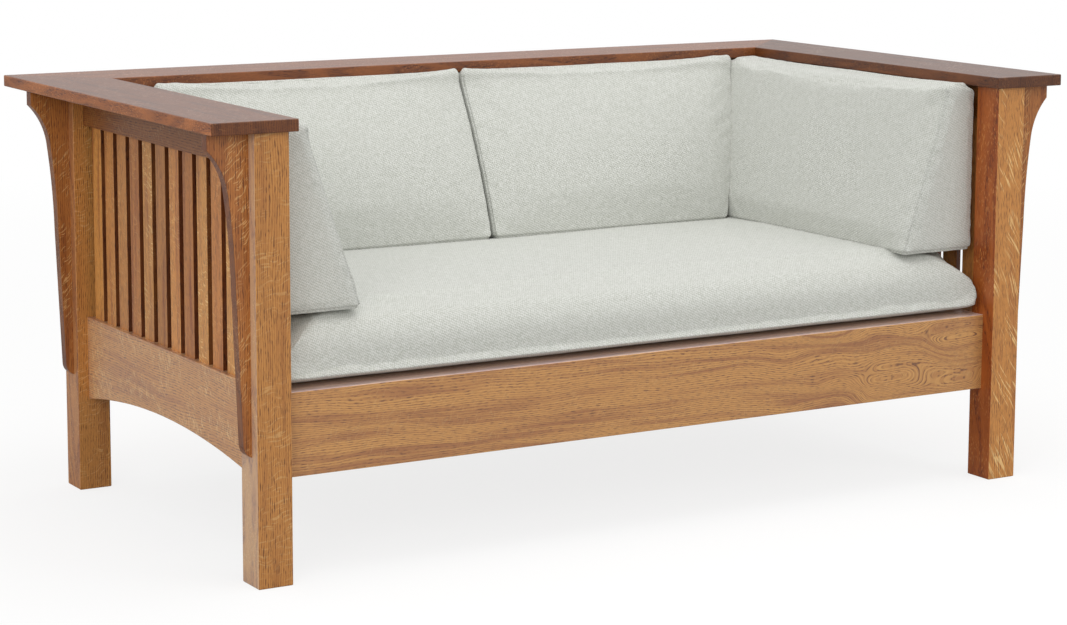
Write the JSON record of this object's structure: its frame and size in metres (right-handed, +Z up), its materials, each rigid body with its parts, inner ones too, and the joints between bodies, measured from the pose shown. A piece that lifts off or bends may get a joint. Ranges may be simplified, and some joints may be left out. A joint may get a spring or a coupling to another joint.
{
  "type": "mission settle",
  "caption": "Even-armed oak settle with spindled sides and back, flat cap rail on long corbels, slatted deck and loose wedge and seat cushions.",
  "frame": {"origin": "on the floor, under the middle of the overall box", "axes": "+X to the right as seen from the front, +Y to the back, +Z up"},
  "size_m": [1.684, 0.902, 0.742],
  "materials": {
    "oak_frame": "satin lacquer over fumed quartersawn oak",
    "deck_board": "planed, unfinished",
    "upholstery": "woven, matt",
    "screw_steel": "zinc plated"
  },
  "bodies": {
    "frame": {"back_cap": "oak_frame", "back_lower_rail": "oak_frame", "back_slats": "oak_frame", "back_upper_rail": "oak_frame", "cap_dowels": "deck_board", "deck_screws": "screw_steel", "deck_slat_1": "deck_board", "deck_slat_2": "deck_board", "deck_slat_3": "deck_board", "deck_slat_4": "deck_board", "deck_slat_5": "deck_board", "deck_slat_6": "deck_board", "front_bearer": "deck_board", "front_left_corbel": "oak_frame", "front_left_leg": "oak_frame", "front_rail": "oak_frame", "front_right_corbel": "oak_frame", "front_right_leg": "oak_frame", "glue_blocks": "deck_board", "left_arm_cap": "oak_frame", "left_side_lower_rail": "oak_frame", "left_side_upper_rail": "oak_frame", "left_slat_01": "oak_frame", "left_slat_02": "oak_frame", "left_slat_03": "oak_frame", "left_slat_04": "oak_frame", "left_slat_05": "oak_frame", "left_slat_06": "oak_frame", "left_slat_07": "oak_frame", "left_slat_08": "oak_frame", "left_slat_09": "oak_frame", "left_slat_10": "oak_frame", "left_slat_11": "oak_frame", "left_slat_12": "oak_frame", "mitre_keys": "deck_board", "rear_bearer": "deck_board", "rear_left_corbel": "oak_frame", "rear_left_leg": "oak_frame", "rear_right_corbel": "oak_frame", "rear_right_leg": "oak_frame", "right_arm_cap": "oak_frame", "right_side_lower_rail": "oak_frame", "right_side_upper_rail": "oak_frame", "right_slat_01": "oak_frame", "right_slat_02": "oak_frame", "right_slat_03": "oak_frame", "right_slat_04": "oak_frame", "right_slat_05": "oak_frame", "right_slat_06": "oak_frame", "right_slat_07": "oak_frame", "right_slat_08": "oak_frame", "right_slat_09": "oak_frame", "right_slat_10": "oak_frame", "right_slat_11": "oak_frame", "right_slat_12": "oak_frame"},
    "seat_cushion_body": {"seat_cushion": "upholstery"},
    "left_side_cushion_body": {"left_side_cushion": "upholstery"},
    "right_side_cushion_body": {"right_side_cushion": "upholstery"},
    "left_back_cushion_body": {"left_back_cushion": "upholstery"},
    "right_back_cushion_body": {"right_back_cushion": "upholstery"}
  },
  "joints": [
    {"name": "seat_cushion_draw_out", "type": "slide", "parent": "frame", "child": "seat_cushion_body", "axis": [0, -1, 0], "range_m": [0, 0.4]},
    {"name": "left_side_cushion_draw_out", "type": "slide", "parent": "frame", "child": "left_side_cushion_body", "axis": [0, -1, 0], "range_m": [0, 0.3]},
    {"name": "right_side_cushion_draw_out", "type": "slide", "parent": "frame", "child": "right_side_cushion_body", "axis": [0, -1, 0], "range_m": [0, 0.3]},
    {"name": "left_back_cushion_draw_out", "type": "slide", "parent": "frame", "child": "left_back_cushion_body", "axis": [0, -1, 0], "range_m": [0, 0.35]},
    {"name": "right_back_cushion_draw_out", "type": "slide", "parent": "frame", "child": "right_back_cushion_body", "axis": [0, -1, 0], "range_m": [0, 0.35]}
  ]
}
